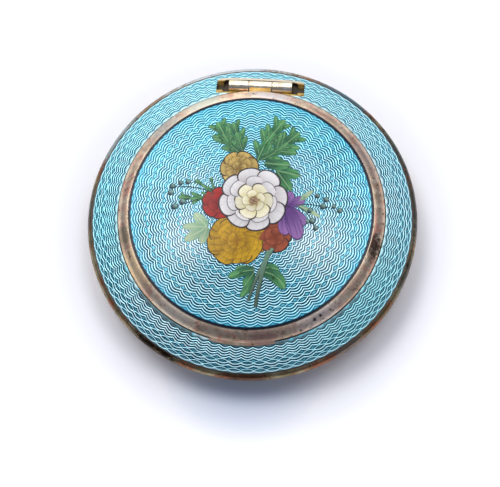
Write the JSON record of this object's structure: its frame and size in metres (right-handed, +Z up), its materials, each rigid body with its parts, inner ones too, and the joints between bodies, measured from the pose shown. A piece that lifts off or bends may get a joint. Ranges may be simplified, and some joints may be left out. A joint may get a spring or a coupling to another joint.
{
  "type": "compact mirror",
  "caption": "Round enamelled powder compact with a domed hinged lid, a mirror inside the lid, and a powder pan and puff in the case.",
  "frame": {"origin": "centre of the flat foot, on the surface that the compact rests on", "axes": "+Z up along the case's axis; the hinge is at +Y and its axis lies along X; the thumb lip is at -Y"},
  "size_m": [0.05, 0.05, 0.0102],
  "materials": {
    "gilt_brass": "gilt sheet brass, satin from use",
    "worn_gilt": "worn gilt, tarnished rose and brown in patches",
    "bright_gilt": "bright gilt",
    "blue_enamel": "clear sky-blue enamel over engine-turned metal, glossy",
    "steel": "drawn wire",
    "tinplate": "dull tinned sheet",
    "powder": "pressed powder, matt",
    "velour": "short soft pile",
    "satin": "silk satin, soft sheen",
    "mirror": "silvered glass",
    "card": "grey-brown card"
  },
  "bodies": {
    "case": {"base_shell": "gilt_brass", "rim_band": "worn_gilt", "shoulder_ring": "gilt_brass", "shoulder_enamel": "blue_enamel", "opening_collar": "gilt_brass", "catch_nib": "gilt_brass", "hinge_trough": "bright_gilt", "hinge_knuckle_left": "bright_gilt", "hinge_knuckle_right": "bright_gilt", "hinge_pin": "steel", "powder_well": "gilt_brass", "powder_pan": "tinplate", "powder_cake": "powder", "pan_ring": "gilt_brass", "puff_pad": "velour", "puff_cover": "satin", "puff_ribbon": "satin"},
    "lid": {"lid_shell": "worn_gilt", "lid_enamel": "blue_enamel", "thumb_lip": "worn_gilt", "hinge_knuckle_lid": "bright_gilt", "hinge_bearer": "bright_gilt", "mirror_glass": "mirror", "mirror_backing": "card", "mirror_bezel": "gilt_brass"}
  },
  "joints": [
    {"name": "lid_hinge", "type": "hinge", "parent": "case", "child": "lid", "pos_m": [0, 0.0211, 0.00701], "axis": [-1, 0, 0], "range_deg": [0, 136]}
  ]
}
